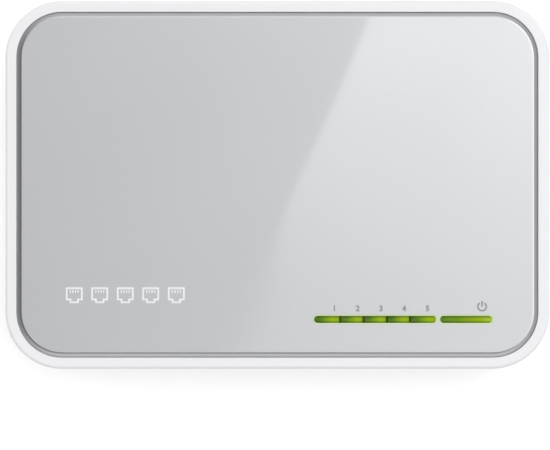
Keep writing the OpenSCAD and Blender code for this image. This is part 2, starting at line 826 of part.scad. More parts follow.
// The fixed tabs of the sleeve contact: one behind the spring and one at the body's side
module inlet_terminals() {
    side_x = inlet_x + inlet_w / 2 + fit_gap + inlet_tab_t / 2;
    color("silver") {
        block(inlet_x, inlet_tab_w, inlet_slot_rear + part_gap, inlet_slot_rear + part_gap + inlet_tab_t,
              tail_z, spring_root_z + 0.4);
        block(side_x, inlet_tab_t, side_tab_y - 1.4, side_tab_y + 1.4, tail_z, board_top + 5);
    }
}

// The leaf spring that presses on the plug's sleeve, drawn from its rolled root towards the mouth
module inlet_spring() {
    low = [0, -inlet_tab_t / 2];
    high = [0, inlet_tab_t / 2];
    color("silver") translate([0, spring_root_y, spring_root_z]) profile_along_x(inlet_x, inlet_tab_w) {
        circle(spring_roll_r);
        polygon([
            low, spring_crest + low, spring_toe + low,
            spring_toe + high, spring_crest + high, high
        ]);
    }
}

// ---------- assembly ----------

top_cover();
fascia_panel();
bottom_cover();
rating_label();
case_screws();
board_screws();
foot(-1, -1);  // foot_front_left
foot(1, -1);  // foot_front_right
foot(-1, 1);  // foot_rear_left
foot(1, 1);  // foot_rear_right
for (p = ports) light_pipe(p - 1);
light_pipe(5);  // light_pipe_power
light_shield();
for (p = ports) led(p - 1);
led(5);  // led_power
circuit_board();
switch_chip();
for (p = ports) magnetics(p);
crystal();
input_capacitor();
output_capacitor();
regulator();
power_inductor();
input_diode();
chip_resistors();
chip_capacitors();
jack_block();
for (p = ports) contact_carrier(p);
for (p = ports) contact_leads(p);
for (p = ports) contact_springs(p);
inlet_body();
inlet_pin();
inlet_terminals();
inlet_spring();
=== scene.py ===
import math

import bpy
from mathutils import Matrix, Vector


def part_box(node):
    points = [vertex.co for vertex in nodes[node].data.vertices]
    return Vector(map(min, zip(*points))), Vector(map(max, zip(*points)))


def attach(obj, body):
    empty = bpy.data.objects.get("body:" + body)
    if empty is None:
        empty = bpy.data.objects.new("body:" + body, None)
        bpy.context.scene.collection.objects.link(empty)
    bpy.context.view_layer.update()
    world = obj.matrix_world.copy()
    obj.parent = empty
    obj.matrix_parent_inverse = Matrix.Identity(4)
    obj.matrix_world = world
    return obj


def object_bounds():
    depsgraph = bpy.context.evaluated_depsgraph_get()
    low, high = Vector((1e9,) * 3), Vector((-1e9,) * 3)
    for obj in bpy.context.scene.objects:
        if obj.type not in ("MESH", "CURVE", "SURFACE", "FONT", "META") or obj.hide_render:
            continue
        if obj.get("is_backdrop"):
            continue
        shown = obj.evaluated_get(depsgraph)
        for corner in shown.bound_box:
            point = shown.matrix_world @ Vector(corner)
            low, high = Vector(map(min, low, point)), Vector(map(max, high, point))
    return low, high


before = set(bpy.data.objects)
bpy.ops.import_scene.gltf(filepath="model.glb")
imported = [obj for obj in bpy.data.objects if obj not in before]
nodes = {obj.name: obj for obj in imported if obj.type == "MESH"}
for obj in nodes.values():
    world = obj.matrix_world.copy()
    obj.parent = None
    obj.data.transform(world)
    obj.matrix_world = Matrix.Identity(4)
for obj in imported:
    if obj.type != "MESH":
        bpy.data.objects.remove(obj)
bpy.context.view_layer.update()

# A five-port desktop network switch, seen from straight above.
# Lengths are in metres, and MM turns millimetres into metres.
MM = 0.001
PORTS = (1, 2, 3, 4, 5)
case_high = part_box("top_cover")[1]
panel_low, panel_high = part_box("fascia_panel")
lens_boxes = [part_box(f"light_pipe_{p}") for p in PORTS] + [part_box("light_pipe_power")]
socket_boxes = [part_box(f"contact_carrier_{p}") for p in PORTS]


# ---------- colours and shader nodes ----------

def rgb(red, green, blue):
    """A colour given as it looks on a screen, 0 to 255, as the linear colour that a shader takes."""
    def linear(value):
        value /= 255
        return value / 12.92 if value <= 0.04045 else ((value + 0.055) / 1.055) ** 2.4
    return (linear(red), linear(green), linear(blue), 1.0)


class Graph:
    """Short ways to add nodes to a shader node tree and join them."""

    def __init__(self, tree):
        self.tree = tree

    def node(self, kind, **settings):
        made = self.tree.nodes.new(kind)
        for key, value in settings.items():
            setattr(made, key, value)
        return made

    def feed(self, socket, value):
        """Puts a number, a colour or another node's output into a socket."""
        if isinstance(value, (int, float, tuple)):
            socket.default_value = value
        else:
            self.tree.links.new(value, socket)

    def place(self, scale=(1, 1, 1), source="Object"):
        """Object coordinates in metres, or Generated ones from 0 to 1 over the piece, times scale."""
        coordinates = self.node("ShaderNodeTexCoord")
        mapping = self.node("ShaderNodeMapping")
        mapping.inputs["Scale"].default_value = scale
        self.feed(mapping.inputs["Vector"], coordinates.outputs[source])
        return mapping.outputs["Vector"]

    def axis(self, name):
        """Generated X, Y or Z: 0 to 1 along a piece, or one part of the ray's direction in a world."""
        separate = self.node("ShaderNodeSeparateXYZ")
        self.feed(separate.inputs["Vector"], self.place(source="Generated"))
        return separate.outputs[name]

    def noise(self, size, detail=3.0, stretch=(1, 1, 1)):
        """Noise whose features are about size across."""
        texture = self.node("ShaderNodeTexNoise")
        texture.inputs["Scale"].default_value = 1 / size
        texture.inputs["Detail"].default_value = detail
        texture.inputs["Roughness"].default_value = 0.55
        self.feed(texture.inputs["Vector"], self.place(stretch))
        return texture.outputs["Fac"]

    def cells(self, size):
        """Cells about size across, each with a colour of its own."""
        texture = self.node("ShaderNodeTexVoronoi")
        texture.inputs["Scale"].default_value = 1 / size
        self.feed(texture.inputs["Vector"], self.place())
        return texture.outputs["Color"]

    def ramp(self, value, stops):
        """A colour ramp over value. Each stop is (position, colour)."""
        ramp = self.node("ShaderNodeValToRGB")
        elements = ramp.color_ramp.elements
        while len(elements) < len(stops):
            elements.new(0.5)
        for element, (position, colour) in zip(elements, stops):
            element.position = position
            element.color = colour
        self.feed(ramp.inputs["Fac"], value)
        return ramp.outputs["Color"]

    def span(self, value, low, high, from_low=0.0, from_high=1.0, smooth=False):
        """Value mapped from one range to another, which it then stays within."""
        node = self.node("ShaderNodeMapRange", clamp=True)
        if smooth:
            node.interpolation_type = "SMOOTHSTEP"
        self.feed(node.inputs["From Min"], from_low)
        self.feed(node.inputs["From Max"], from_high)
        self.feed(node.inputs["To Min"], low)
        self.feed(node.inputs["To Max"], high)
        self.feed(node.inputs["Value"], value)
        return node.outputs["Result"]

    def math(self, operation, first, second=0.0, third=0.0):
        node = self.node("ShaderNodeMath", operation=operation)
        for socket, value in zip(node.inputs, (first, second, third)):
            self.feed(socket, value)
        return node.outputs["Value"]

    def mix(self, factor, first, second, blend="MIX"):
        """Two colours, each a colour or a node's output, mixed by factor."""
        node = self.node("ShaderNodeMix", data_type="RGBA", blend_type=blend)
        for socket, value in zip((node.inputs[0], node.inputs[6], node.inputs[7]), (factor, first, second)):
            self.feed(socket, value)
        return node.outputs[2]


class Shader(Graph):
    """A node material with one Principled shader."""

    def __init__(self, name, colour, roughness, metallic=0.0, coat=0.0, coat_roughness=0.03, coat_ior=1.5):
        self.material = bpy.data.materials.new(name)
        self.material.use_nodes = True
        super().__init__(self.material.node_tree)
        self.principled = self.tree.nodes["Principled BSDF"]
        self.set("Base Color", colour)
        self.set("Roughness", roughness)
        self.set("Metallic", metallic)
        self.set("Coat Weight", coat)
        self.set("Coat Roughness", coat_roughness)
        self.set("Coat IOR", coat_ior)
        self.set("IOR", 1.5)
        self.bumps = None

    def set(self, socket, value):
        self.feed(self.principled.inputs[socket], value)
        return self

    def bump(self, height, distance):
        """Adds a bump of that real height, on top of any bump that is already there."""
        bump = self.node("ShaderNodeBump")
        bump.inputs["Distance"].default_value = distance
        self.feed(bump.inputs["Height"], height)
        if self.bumps is not None:
            self.feed(bump.inputs["Normal"], self.bumps)
        self.bumps = bump.outputs["Normal"]
        return self.set("Normal", self.bumps)

    def glow(self, colour, strength):
        return self.set("Emission Strength", strength).set("Emission Color", colour)


def tinted(name, colour, roughness, spread, cloud_size, grain, grain_height, **more):
    """A surface with a faint cloud of colour and roughness, and a fine grain.

    spread is the share by which the cloud makes the colour lighter and darker. grain is the grain's width."""
    shader = Shader(name, colour, roughness, **more)
    dark = tuple(c * (1 - spread) for c in colour[:3]) + (1.0,)
    light = tuple(min(1.0, c * (1 + spread)) for c in colour[:3]) + (1.0,)
    cloud = shader.noise(cloud_size)
    shader.set("Base Color", shader.ramp(cloud, [(0.3, dark), (0.7, light)]))
    shader.set("Roughness", shader.span(cloud, roughness * 0.85, roughness * 1.15, 0.3, 0.7))
    shader.bump(shader.noise(grain, detail=2.0), grain_height)
    return shader


# ---------- materials ----------

def white_case():
    """Glossy white moulded plastic, with the faint waviness of a polished mould."""
    shader = tinted("white_abs", rgb(237, 237, 239), roughness=0.13, spread=0.008, cloud_size=30 * MM,
                    grain=0.4 * MM, grain_height=0.0004 * MM)
    shader.bump(shader.noise(9 * MM, detail=1.0), 0.003 * MM)
    return shader.material


def silver_lacquer(name, colour):
    """Flake lacquer under a hard clear coat: the base mirrors blurrily and the coat stays sharp."""
    shader = Shader(name, colour, 0.31, metallic=0.95, coat=1.0, coat_roughness=0.02, coat_ior=1.9)
    flake = shader.cells(0.09 * MM)
    cloud = shader.noise(45 * MM, detail=1.0)
    darker = tuple(c * 0.97 for c in colour[:3]) + (1.0,)
    base = shader.ramp(cloud, [(0.35, darker), (0.65, colour)])
    shader.set("Base Color", shader.mix(0.05, base, flake, "SOFT_LIGHT"))
    shader.set("Roughness", shader.span(shader.noise(0.2 * MM), 0.29, 0.33, 0.35, 0.65))
    return shader.material


def lens_green(name, shades):
    """Tinted clear plastic with painted lamp light from its right-hand end, lighter along it, and painted
    shade along its long edges.
    """
    shader = Shader(name, shades[0], 0.35)
    shader.set("Specular IOR Level", 0.12)
    stops = [(k / (len(shades) - 1), shade) for k, shade in enumerate(shades)]
    # Painted lamp light: dark at the left-hand end, light near the right-hand end, with lighter streaks
    lit = shader.ramp(shader.axis("X"), stops)
    streak = shader.noise(0.6 * MM, stretch=(0.3, 1.3, 1))
    lit = shader.mix(shader.span(streak, 0.0, 0.3, 0.35, 0.75), lit, shades[-2])
    # Painted shade: darker towards the long edges, untouched along the middle
    across = shader.math("SUBTRACT", shader.axis("Y"), 0.5)
    shade = shader.ramp(shader.math("ABSOLUTE", across), [
        (0.0, (1, 1, 1, 1)), (0.13, (0.97, 0.98, 0.94, 1)),
        (0.3, (0.6, 0.7, 0.4, 1)), (0.5, (0.26, 0.4, 0.1, 1))])
    seen = shader.mix(1.0, lit, shade, "MULTIPLY")
    # The painted light and shade colour both the surface and its faint glow
    shader.set("Base Color", seen).glow(seen, 0.08)
    shader.bump(shader.noise(0.25 * MM), 0.001 * MM)
    return shader.material


def print_ink(name, colour):
    """Screen-printed ink: matt, with a slightly uneven film."""
    return tinted(name, colour, roughness=0.55, spread=0.04, cloud_size=0.4 * MM,
                  grain=0.08 * MM, grain_height=0.002 * MM).material


def black_moulding(name, colour, grain):
    """Dark moulded plastic with a spark-eroded texture."""
    return tinted(name, colour, roughness=0.48, spread=0.12, cloud_size=6 * MM,
                  grain=grain, grain_height=0.006 * MM).material


def bright_metal(name, colour, roughness, direction=(1, 1, 1)):
    """Plated or drawn metal with fine lines along the direction in which it was worked."""
    shader = Shader(name, colour, roughness, metallic=1.0)
    lines = shader.noise(0.05 * MM, detail=4.0, stretch=direction)
    shader.set("Roughness", shader.span(lines, roughness * 0.7, roughness * 1.4, 0.3, 0.7))
    shader.bump(lines, 0.0003 * MM)
    return shader.material


def solder_mask():
    """Green solder mask over woven glass, with copper tracks showing lighter under it."""
    shader = Shader("solder_mask", rgb(16, 84, 44), 0.3, coat=0.5, coat_roughness=0.12)
    tracks = shader.node("ShaderNodeTexBrick", offset=0.37, offset_frequency=2,
                         squash=0.6, squash_frequency=3)
    for socket, value in (("Scale", 1.0), ("Mortar Size", 0.09 * MM), ("Mortar Smooth", 0.3),
                          ("Brick Width", 5.2 * MM), ("Row Height", 0.9 * MM)):
        tracks.inputs[socket].default_value = value
    shader.feed(tracks.inputs["Vector"], shader.place())
    poured = shader.ramp(shader.noise(9 * MM, detail=0.0), [(0.5, (0, 0, 0, 1)), (0.51, (1, 1, 1, 1))])
    copper = shader.math("MULTIPLY", tracks.outputs["Fac"], poured)
    base = shader.mix(copper, rgb(14, 82, 44), rgb(30, 118, 62))
    weave = shader.node("ShaderNodeTexWave", wave_type="BANDS", bands_direction="DIAGONAL")
    weave.inputs["Scale"].default_value = 300.0
    shader.feed(weave.inputs["Vector"], shader.place())
    shader.set("Base Color", shader.mix(0.08, base, weave.outputs["Color"], "SOFT_LIGHT"))
    shader.bump(weave.outputs["Fac"], 0.002 * MM).bump(copper, 0.03 * MM)
    return shader.material


WHITE = white_case()
SILVER = silver_lacquer("silver_lacquer", rgb(178, 179, 182))
# A copy of the silver tinted green by painted lamp light, for the panel round the windows
SILVER_LIT = silver_lacquer("silver_painted_lamp_light", rgb(172, 182, 150))
# Painted lamp light: each list runs from a lens's dark left-hand end to its lit right-hand end
LENS_PORT = lens_green("lens_port", [
    rgb(56, 92, 38), rgb(74, 112, 22), rgb(118, 150, 14), rgb(150, 174, 16), rgb(136, 160, 34)])
LENS_POWER = lens_green("lens_power", [
    rgb(76, 116, 38), rgb(92, 134, 16), rgb(120, 150, 12), rgb(142, 168, 14), rgb(168, 190, 60)])
# Painted lamp light: the pale rim stands for the lamps' light at each lens's edge, lighter towards the front
HALO = tinted("lens_rim_painted_light", rgb(212, 225, 178), roughness=0.3, spread=0.03, cloud_size=3 * MM,
              grain=0.2 * MM, grain_height=0.001 * MM)
HALO.set("Base Color", HALO.ramp(HALO.axis("Y"), [(0.0, rgb(216, 228, 186)), (1.0, rgb(196, 208, 156))]))
# Painted lamp light: the green of the lit lenses on the black shield's tops between them
DIVIDER = tinted("divider_painted_lamp_light", rgb(76, 118, 4), roughness=0.5, spread=0.1, cloud_size=1 * MM,
                 grain=0.1 * MM, grain_height=0.002 * MM)
DIVIDER.set("Specular IOR Level", 0.1)
SHIELD = black_moulding("shield_black", rgb(26, 26, 27), 0.2 * MM)
INK_GREY = print_ink("ink_grey", rgb(138, 140, 144))
INK_WHITE = print_ink("ink_white", rgb(238, 239, 241))
SOCKET_BLACK = black_moulding("socket_black", rgb(38, 38, 40), 0.15 * MM)
CARRIER_BLACK = black_moulding("carrier_black", rgb(30, 31, 34), 0.12 * MM)
CHIP_BLACK = black_moulding("chip_epoxy", rgb(40, 40, 42), 0.08 * MM)
MAGNETICS_BLACK = black_moulding("transformer_epoxy", rgb(46, 46, 48), 0.2 * MM)
GOLD = bright_metal("contact_gold", rgb(226, 184, 96), 0.22, (1, 0.1, 1))
TIN = bright_metal("tinned_lead", rgb(205, 206, 208), 0.3, (1, 1, 0.2))
NICKEL = bright_metal("nickel_plate", rgb(214, 213, 208), 0.2, (1, 0.1, 1))
STEEL = bright_metal("zinc_screw", rgb(176, 178, 182), 0.3, (0.3, 1, 1))
CAN = bright_metal("pressed_can", rgb(214, 214, 212), 0.28, (0.2, 1, 1))
RUBBER = tinted("foot_rubber", rgb(62, 62, 64), roughness=0.75, spread=0.1, cloud_size=2 * MM,
                grain=0.12 * MM, grain_height=0.01 * MM).material
LABEL = tinted("label_film", rgb(216, 216, 214), roughness=0.45, spread=0.01, cloud_size=8 * MM,
               grain=0.5 * MM, grain_height=0.002 * MM).material
SLEEVE = tinted("capacitor_sleeve", rgb(34, 40, 66), roughness=0.25, spread=0.08, cloud_size=2 * MM,
                grain=0.3 * MM, grain_height=0.003 * MM, coat=0.4).material
FERRITE = tinted("ferrite", rgb(66, 63, 62), roughness=0.7, spread=0.12, cloud_size=0.6 * MM,
                 grain=0.1 * MM, grain_height=0.012 * MM).material
COPPER = bright_metal("winding_copper", rgb(196, 118, 66), 0.25, (1, 1, 0.1))
RESISTOR = tinted("resistor_glaze", rgb(28, 28, 30), roughness=0.35, spread=0.08, cloud_size=0.3 * MM,
                  grain=0.1 * MM, grain_height=0.002 * MM).material
CERAMIC = tinted("capacitor_ceramic", rgb(152, 122, 88), roughness=0.5, spread=0.08, cloud_size=0.3 * MM,
                 grain=0.06 * MM, grain_height=0.003 * MM).material
LED_RESIN = tinted("lamp_resin", rgb(222, 232, 190), roughness=0.2, spread=0.03, cloud_size=0.4 * MM,
                   grain=0.1 * MM, grain_height=0.001 * MM, coat=0.5)
LED_RESIN.glow(rgb(150, 220, 40), 0.8)
MASK = solder_mask()


# ---------- putting materials and edges on the CAD nodes ----------

CRISP_ABOVE = math.radians(38)     # a sharper edge isn't shaded smooth
ROUND_ABOVE = math.radians(35)     # a sharper edge is rounded
FLAT_BELOW = math.radians(0.5)     # faces closer to one plane than this are joined into one
EDGE_WIDTH = 0.08 * MM


def smooth_below(angle):
    """A node group that shades every edge under an angle smooth and every sharper one crisp."""
    group = bpy.data.node_groups.new("smooth_below", "GeometryNodeTree")
    group.interface.new_socket("Geometry", in_out="INPUT", socket_type="NodeSocketGeometry")
    group.interface.new_socket("Geometry", in_out="OUTPUT", socket_type="NodeSocketGeometry")
    source = group.nodes.new("NodeGroupInput")
    target = group.nodes.new("NodeGroupOutput")
    edge_angle = group.nodes.new("GeometryNodeInputMeshEdgeAngle")
    compare = group.nodes.new("FunctionNodeCompare")
    compare.data_type = "FLOAT"
    compare.operation = "LESS_THAN"
    compare.inputs["B"].default_value = angle
    faces = group.nodes.new("GeometryNodeSetShadeSmooth")
    faces.domain = "FACE"
    edges = group.nodes.new("GeometryNodeSetShadeSmooth")
    edges.domain = "EDGE"
    group.links.new(source.outputs[0], faces.inputs["Geometry"])
    group.links.new(faces.outputs["Geometry"], edges.inputs["Geometry"])
    group.links.new(edge_angle.outputs["Unsigned Angle"], compare.inputs["A"])
    group.links.new(compare.outputs["Result"], edges.inputs["Shade Smooth"])
    group.links.new(edges.outputs["Geometry"], target.inputs[0])
    return group


SMOOTH_GROUP = smooth_below(CRISP_ABOVE)


def soften(name):
    """Rounds a CAD node's sharp edges a little, as every moulded or pressed part's are."""
    obj = nodes[name]
    custom = obj.data.attributes.get("custom_normal")
    if custom is not None:
        obj.data.attributes.remove(custom)
    weld = obj.modifiers.new("weld", "WELD")
    weld.merge_threshold = 0.001 * MM
    flat = obj.modifiers.new("flat_faces", "DECIMATE")
    flat.decimate_type = "DISSOLVE"
    flat.angle_limit = FLAT_BELOW
    bevel = obj.modifiers.new("edges", "BEVEL")
    bevel.width = EDGE_WIDTH
    bevel.segments = 2
    bevel.limit_method = "ANGLE"
    bevel.angle_limit = ROUND_ABOVE
    bevel.harden_normals = False
    smooth = obj.modifiers.new("smooth", "NODES")
    smooth.node_group = SMOOTH_GROUP
    weighted = obj.modifiers.new("weighted", "WEIGHTED_NORMAL")
    weighted.keep_sharp = True


def dress(material, *names):
    """Gives CAD nodes one material."""
    for name in names:
        nodes[name].data.materials.clear()
        nodes[name].data.materials.append(material)


def paint(name, material, test):
    """Gives a second material to the faces of a CAD node whose middle passes the test."""
    mesh = nodes[name].data
    mesh.materials.append(material)
    index = len(mesh.materials) - 1
    for face in mesh.polygons:
        if test(face.center):
            face.material_index = index


def each(stem):
    return [f"{stem}_{p}" for p in PORTS]


FEET = ("foot_front_left", "foot_front_right", "foot_rear_left", "foot_rear_right")
dress(WHITE, "top_cover", "bottom_cover")
dress(SILVER, "fascia_panel")
dress(LABEL, "rating_label")
dress(STEEL, "case_screws", "board_screws")
dress(RUBBER, *FEET)
dress(LENS_PORT, *each("light_pipe"))
dress(LENS_POWER, "light_pipe_power")
dress(SHIELD, "light_shield")
dress(LED_RESIN.material, *each("led"), "led_power")
dress(MASK, "circuit_board")
dress(CHIP_BLACK, "switch_chip", "regulator", "input_diode")
dress(MAGNETICS_BLACK, *each("magnetics"))
dress(CAN, "crystal")
dress(SLEEVE, "input_capacitor", "output_capacitor")
dress(FERRITE, "power_inductor")
dress(RESISTOR, "chip_resistors")
dress(CERAMIC, "chip_capacitors")
dress(SOCKET_BLACK, "jack_block", "inlet_body")
dress(CARRIER_BLACK, *each("contact_carrier"))
dress(GOLD, *each("contact_leads"), *each("contact_springs"))
dress(NICKEL, "inlet_pin", "inlet_terminals", "inlet_spring")

# The shield's faces above the panel's underside take the green of the painted lamp light
paint("light_shield", DIVIDER.material, lambda middle: middle.z > panel_low.z)


LAMP_BODY = 0.49 * MM              # just under the height of a lamp's white body, below its lens
LAMP_TERMINAL = 0.3 * MM
CAN_TOP_DROP = 0.2 * MM            # how far a capacitor's bare top lies below its sleeve's rim
WINDING_LOW = 1.25 * MM            # the winding shows between these heights, with a flange below and above
WINDING_HIGH = 2.55 * MM
TERMINAL = 0.199                   # just under the share of a chip part's length that a tinned end takes up


def outside(name, inset_x, inset_y):
    """A test for the faces of the leads, which stick out of a part's body by those insets."""
    low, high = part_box(name)
    edge = 0.01 * MM
    return lambda middle: not (low.x + inset_x - edge < middle.x < high.x - inset_x + edge
                               and low.y + inset_y - edge < middle.y < high.y - inset_y + edge)


for names, inset_x, inset_y in (
        (["switch_chip"], 1.4 * MM, 1.4 * MM),
        (["regulator"], 0, 1.7 * MM),
        (["input_diode"], 0.9 * MM, 0),
        (each("magnetics"), 0, 1.3 * MM)):
    for name in names:
        paint(name, TIN, outside(name, inset_x, inset_y))
for name in (*each("led"), "led_power"):
    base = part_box(name)[0].z
    paint(name, WHITE, lambda middle: middle.z < base + LAMP_BODY)
    paint(name, TIN, outside(name, LAMP_TERMINAL, 0))
for name in ("input_capacitor", "output_capacitor"):
    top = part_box(name)[1].z
    paint(name, CAN, lambda middle: abs(middle.z - top + CAN_TOP_DROP) < 0.05 * MM)
inductor_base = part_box("power_inductor")[0].z
paint("power_inductor", COPPER, lambda middle: WINDING_LOW < middle.z - inductor_base < WINDING_HIGH)


def solid_boxes(mesh):
    """For each face, the box of the solid it belongs to. Vertices within a micrometre count as one."""
    places, parent = {}, []

    def root(k):
        while parent[k] != k:
            parent[k] = parent[parent[k]]
            k = parent[k]
        return k

    ids = []
    for vertex in mesh.vertices:
        key = tuple(round(c * 1e6) for c in vertex.co)
        if key not in places:
            places[key] = len(parent)
            parent.append(len(parent))
        ids.append(places[key])
    for face in mesh.polygons:
        first = root(ids[face.vertices[0]])
        for k in face.vertices[1:]:
            parent[root(ids[k])] = first
    boxes = {}
    for vertex, k in zip(mesh.vertices, ids):
        low, high = boxes.setdefault(root(k), (vertex.co.copy(), vertex.co.copy()))
        for i in range(3):
            low[i], high[i] = min(low[i], vertex.co[i]), max(high[i], vertex.co[i])
    return [boxes[root(ids[face.vertices[0]])] for face in mesh.polygons]


for name in ("chip_resistors", "chip_capacitors"):
    mesh = nodes[name].data
    mesh.materials.append(TIN)
    for face, (low, high) in zip(mesh.polygons, solid_boxes(mesh)):
        size = high - low
        axis = 0 if size.x > size.y else 1
        along = (face.center[axis] - low[axis]) / size[axis]
        if along < TERMINAL or along > 1 - TERMINAL:
            face.material_index = 1

for name in ("jack_block", "inlet_body", *each("contact_carrier"), "light_shield"):
    soften(name)


# ---------- printed marks ----------

INK_THICKNESS = 0.012 * MM
NUMERAL_HEIGHT = 1.12 * MM
NUMERAL_INSET = 0.9 * MM           # from the right-hand end of a window to the middle of its numeral
NUMERAL_LIFT = 2.1 * MM            # from the windows' middle line to the numerals' middle line
POWER_INSET = 1.9 * MM
POWER_LIFT = 2.45 * MM
POWER_RADIUS = 0.8 * MM
POWER_STROKE = 0.28 * MM
SIGN_STROKE = 0.32 * MM


def add_piece(name, mesh, material, body="case"):
    mesh.materials.clear()
    mesh.materials.append(material)
    piece = bpy.data.objects.new(name, mesh)
    bpy.context.scene.collection.objects.link(piece)
    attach(piece, body)
    return piece


def text_piece(name, text, height, middle, material, turn=None):
    """Characters that tall in a plain built-in face, as a thin solid. Its underside is centred on middle."""
    curve = bpy.data.curves.new(name, "FONT")
    curve.body = text
    curve.extrude = 0.5            # any depth will do, because the piece is then fitted to the ink's
    curve.offset = 0.035           # makes the strokes a little bolder
    source = bpy.data.objects.new(name + "_source", curve)
    bpy.context.scene.collection.objects.link(source)
    bpy.context.view_layer.update()
    mesh = bpy.data.meshes.new_from_object(source.evaluated_get(bpy.context.evaluated_depsgraph_get()))
    bpy.data.objects.remove(source)
    low = Vector(min(v.co[i] for v in mesh.vertices) for i in range(3))
    high = Vector(max(v.co[i] for v in mesh.vertices) for i in range(3))
    scale = height / (high.y - low.y)
    base = Vector(((low.x + high.x) / 2, (low.y + high.y) / 2, low.z))
    fit = Matrix.Diagonal((scale, scale, INK_THICKNESS / (high.z - low.z), 1)) @ Matrix.Translation(-base)
    mesh.transform(Matrix.Translation(middle) @ (turn or Matrix.Identity(4)) @ fit)
    return add_piece(name, mesh, material)


def flat_piece(name, shapes, material, low, high):
    """A solid between two heights. Each shape is a loop of points, or an inner and an outer loop."""
    vertices, faces = [], []
    for shape in shapes:
        loops = shape if isinstance(shape, tuple) else (shape,)
        start, count = len(vertices), len(loops[0])
        for z in (low, high):
            for loop in loops:
                vertices += [(x, y, z) for x, y in loop]
        if len(loops) == 1:
            faces.append([start + k for k in reversed(range(count))])
            faces.append([start + count + k for k in range(count)])
            bottom, top = start, start + count
        else:
            bottom, inner, top = start + count, start + 2 * count, start + 3 * count
            for k in range(count):
                after = (k + 1) % count
                faces.append([inner + k, top + k, top + after, inner + after])           # upper side
                faces.append([start + after, bottom + after, bottom + k, start + k])     # underside
                faces.append([start + after, start + k, inner + k, inner + after])       # wall of the hole
        # The outer wall
        for k in range(count):
            after = (k + 1) % count
            faces.append([bottom + k, bottom + after, top + after, top + k])
    mesh = bpy.data.meshes.new(name)
    mesh.from_pydata(vertices, [], faces)
    mesh.validate()
    return add_piece(name, mesh, material)


def arc(centre_x, centre_y, radius, start, end, steps=24):
    """Points along an arc, angles in degrees."""
    turns = [math.radians(start + (end - start) * k / steps) for k in range(steps + 1)]
    return [(centre_x + radius * math.cos(t), centre_y + radius * math.sin(t)) for t in turns]


def arc_band(centre_x, centre_y, radius, width, start, end):
    """A stroke of that width along an arc, as one loop."""
    return (arc(centre_x, centre_y, radius + width / 2, start, end, 40)
            + arc(centre_x, centre_y, radius - width / 2, end, start, 40))


def box_loop(centre_x, centre_y, width, height):
    return [(centre_x - width / 2, centre_y - height / 2), (centre_x + width / 2, centre_y - height / 2),
            (centre_x + width / 2, centre_y + height / 2), (centre_x - width / 2, centre_y + height / 2)]


def square_stroke(points, width):
    """A stroke along a closed anticlockwise path of square corners, as an inner and an outer loop."""
    count = len(points)
    directions = [(Vector(points[(k + 1) % count]) - Vector(points[k])).normalized() for k in range(count)]

    def shifted(distance):
        return [(point[0] + distance * (directions[k].y + directions[k - 1].y),
                 point[1] - distance * (directions[k].x + directions[k - 1].x))
                for k, point in enumerate(points)]
    return shifted(-width / 2), shifted(width / 2)


lens_y = (lens_boxes[0][0].y + lens_boxes[0][1].y) / 2
panel_top = panel_high.z
numeral_step = lens_boxes[2][1].x - lens_boxes[1][1].x
for index, port in enumerate(PORTS):
    x = lens_boxes[0][1].x - NUMERAL_INSET + index * numeral_step
    middle = Vector((x, lens_y + NUMERAL_LIFT, panel_top))
    text_piece(f"numeral_{port}", str(port), NUMERAL_HEIGHT, middle, INK_GREY)

power_x = lens_boxes[5][1].x - POWER_INSET
power_y = lens_y + POWER_LIFT
flat_piece("power_symbol", [
    arc_band(power_x, power_y, POWER_RADIUS, POWER_STROKE, 125, 415),
    box_loop(power_x, power_y + 0.52 * MM, POWER_STROKE, 1.1 * MM),
], INK_GREY, panel_top, panel_top + INK_THICKNESS)


def socket_sign(x, y):
    """A socket seen from its mouth: its stepped outline and four of its contacts."""
    corners = [(-1.44, -0.8), (-0.72, -0.8), (-0.72, -1.34), (0.72, -1.34), (0.72, -0.8), (1.44, -0.8),
               (1.44, 1.34), (-1.44, 1.34)]
    outline = square_stroke([(x + a * MM, y + b * MM) for a, b in corners], SIGN_STROKE)
    contacts = [box_loop(x + k * 0.5 * MM, y + 0.72 * MM, 0.2 * MM, 0.6 * MM) for k in (-1.5, -0.5, 0.5, 1.5)]
    return [outline] + contacts


SIGN_LEFT, SIGN_RIGHT, SIGN_Y = -38.6 * MM, -19.2 * MM, -21 * MM
signs = []
for index in range(len(PORTS)):
    signs += socket_sign(SIGN_LEFT + (SIGN_RIGHT - SIGN_LEFT) * index / (len(PORTS) - 1), SIGN_Y)
flat_piece("socket_signs", signs, INK_WHITE, panel_top, panel_top + INK_THICKNESS)


# The numerals over the sockets and the direct-current sign over the power inlet, on the rear wall
TO_REAR = Matrix.Rotation(math.pi, 4, "Z") @ Matrix.Rotation(math.pi / 2, 4, "X")
REAR_MARK_Z = 19.3 * MM
REAR_NUMERAL_HEIGHT = 1.5 * MM
rear_y = case_high.y
for port, (low, high) in zip(PORTS, socket_boxes):
    middle = Vector(((low.x + high.x) / 2, rear_y, REAR_MARK_Z))
    text_piece(f"rear_numeral_{port}", str(port), REAR_NUMERAL_HEIGHT, middle, INK_GREY, TO_REAR)
inlet_low, inlet_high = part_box("inlet_body")
inlet_x = (inlet_low.x + inlet_high.x) / 2
current_sign = flat_piece("current_sign", [box_loop(0, 0.35 * MM, 3 * MM, 0.25 * MM)]
                          + [box_loop(k * 1.1 * MM, -0.35 * MM, 0.8 * MM, 0.25 * MM) for k in (-1, 0, 1)],
                          INK_GREY, 0, INK_THICKNESS)
current_sign.data.transform(Matrix.Translation((inlet_x, rear_y, REAR_MARK_Z)) @ TO_REAR)


# ---------- painted lamp light round the indicator windows ---

# How far outside the window's outline the rim starts and ends, and the panel's painted lamp light ends
RIM_START = 0.02 * MM
RIM_END = 0.2 * MM
GLOW_END = 0.38 * MM


